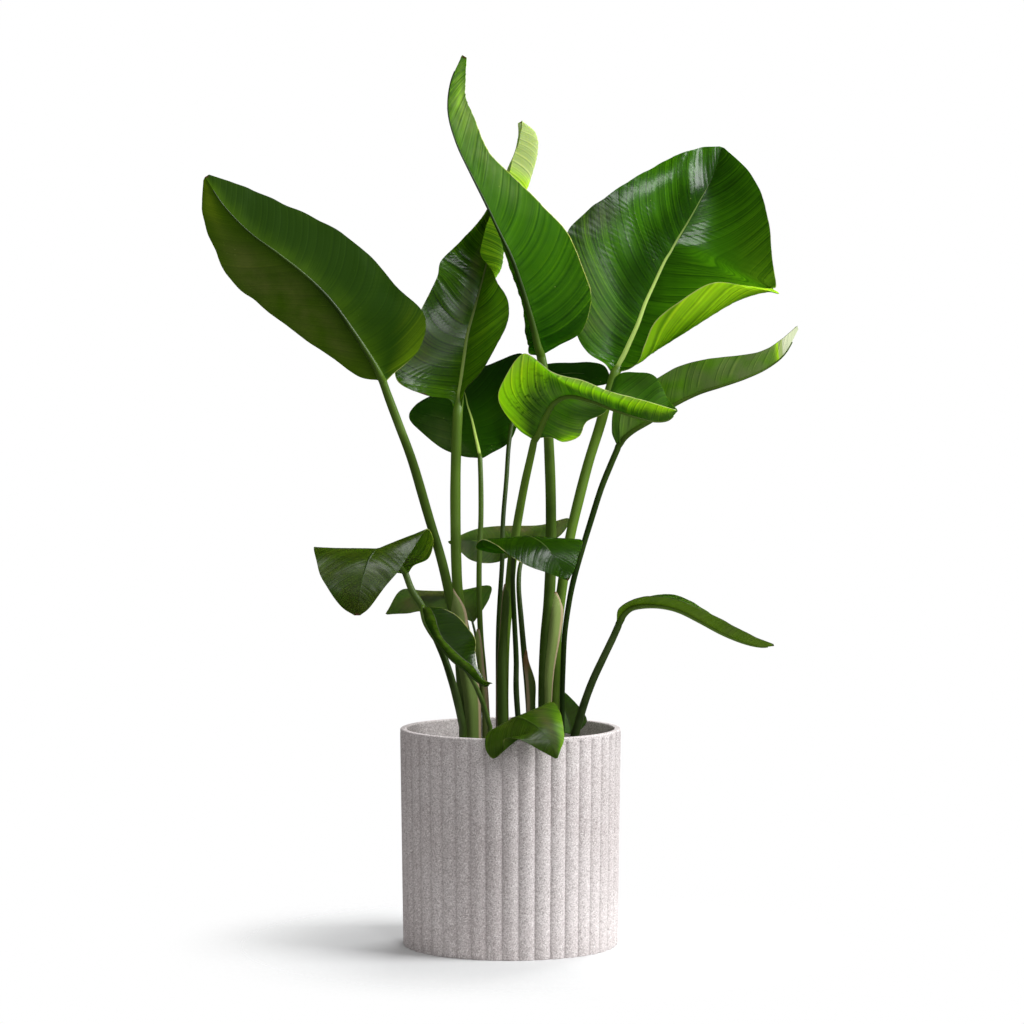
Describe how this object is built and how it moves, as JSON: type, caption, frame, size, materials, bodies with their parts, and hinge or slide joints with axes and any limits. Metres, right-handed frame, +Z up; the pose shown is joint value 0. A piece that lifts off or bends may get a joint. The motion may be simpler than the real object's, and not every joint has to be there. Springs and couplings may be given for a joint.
{
  "type": "potted plant",
  "caption": "Giant white bird of paradise house plant with large paddle-shaped leaves on tall stalks, standing in soil in a ribbed round stone-look planter.",
  "frame": {"origin": "centre of the planter's foot, on the surface that it stands on", "axes": "+Z up along the planter's axis, +X to the right in the front view, the viewer on the -Y side"},
  "size_m": [0.7127, 0.3148, 1.0724],
  "materials": {
    "planter": "matte speckled stone composite",
    "grow_pot": "satin black",
    "soil": "loose dark potting mix",
    "leaf": "glossy above, satin below"
  },
  "bodies": {
    "root": {"planter": "planter", "grow_pot": "grow_pot", "soil": "soil", "leaf_upper_left": "leaf", "leaf_tall_rear_left": "leaf", "leaf_tall_centre": "leaf", "leaf_upper_right": "leaf", "leaf_right_arching": "leaf", "leaf_centre_bright": "leaf", "leaf_dark_middle": "leaf", "leaf_dark_rear": "leaf", "leaf_left_saddle": "leaf", "leaf_low_rear_left": "leaf", "leaf_low_front_left": "leaf", "leaf_middle_front": "leaf", "leaf_middle_rear": "leaf", "leaf_low_rear_right": "leaf", "leaf_rim_front": "leaf", "leaf_low_right": "leaf"}
  },
  "joints": []
}
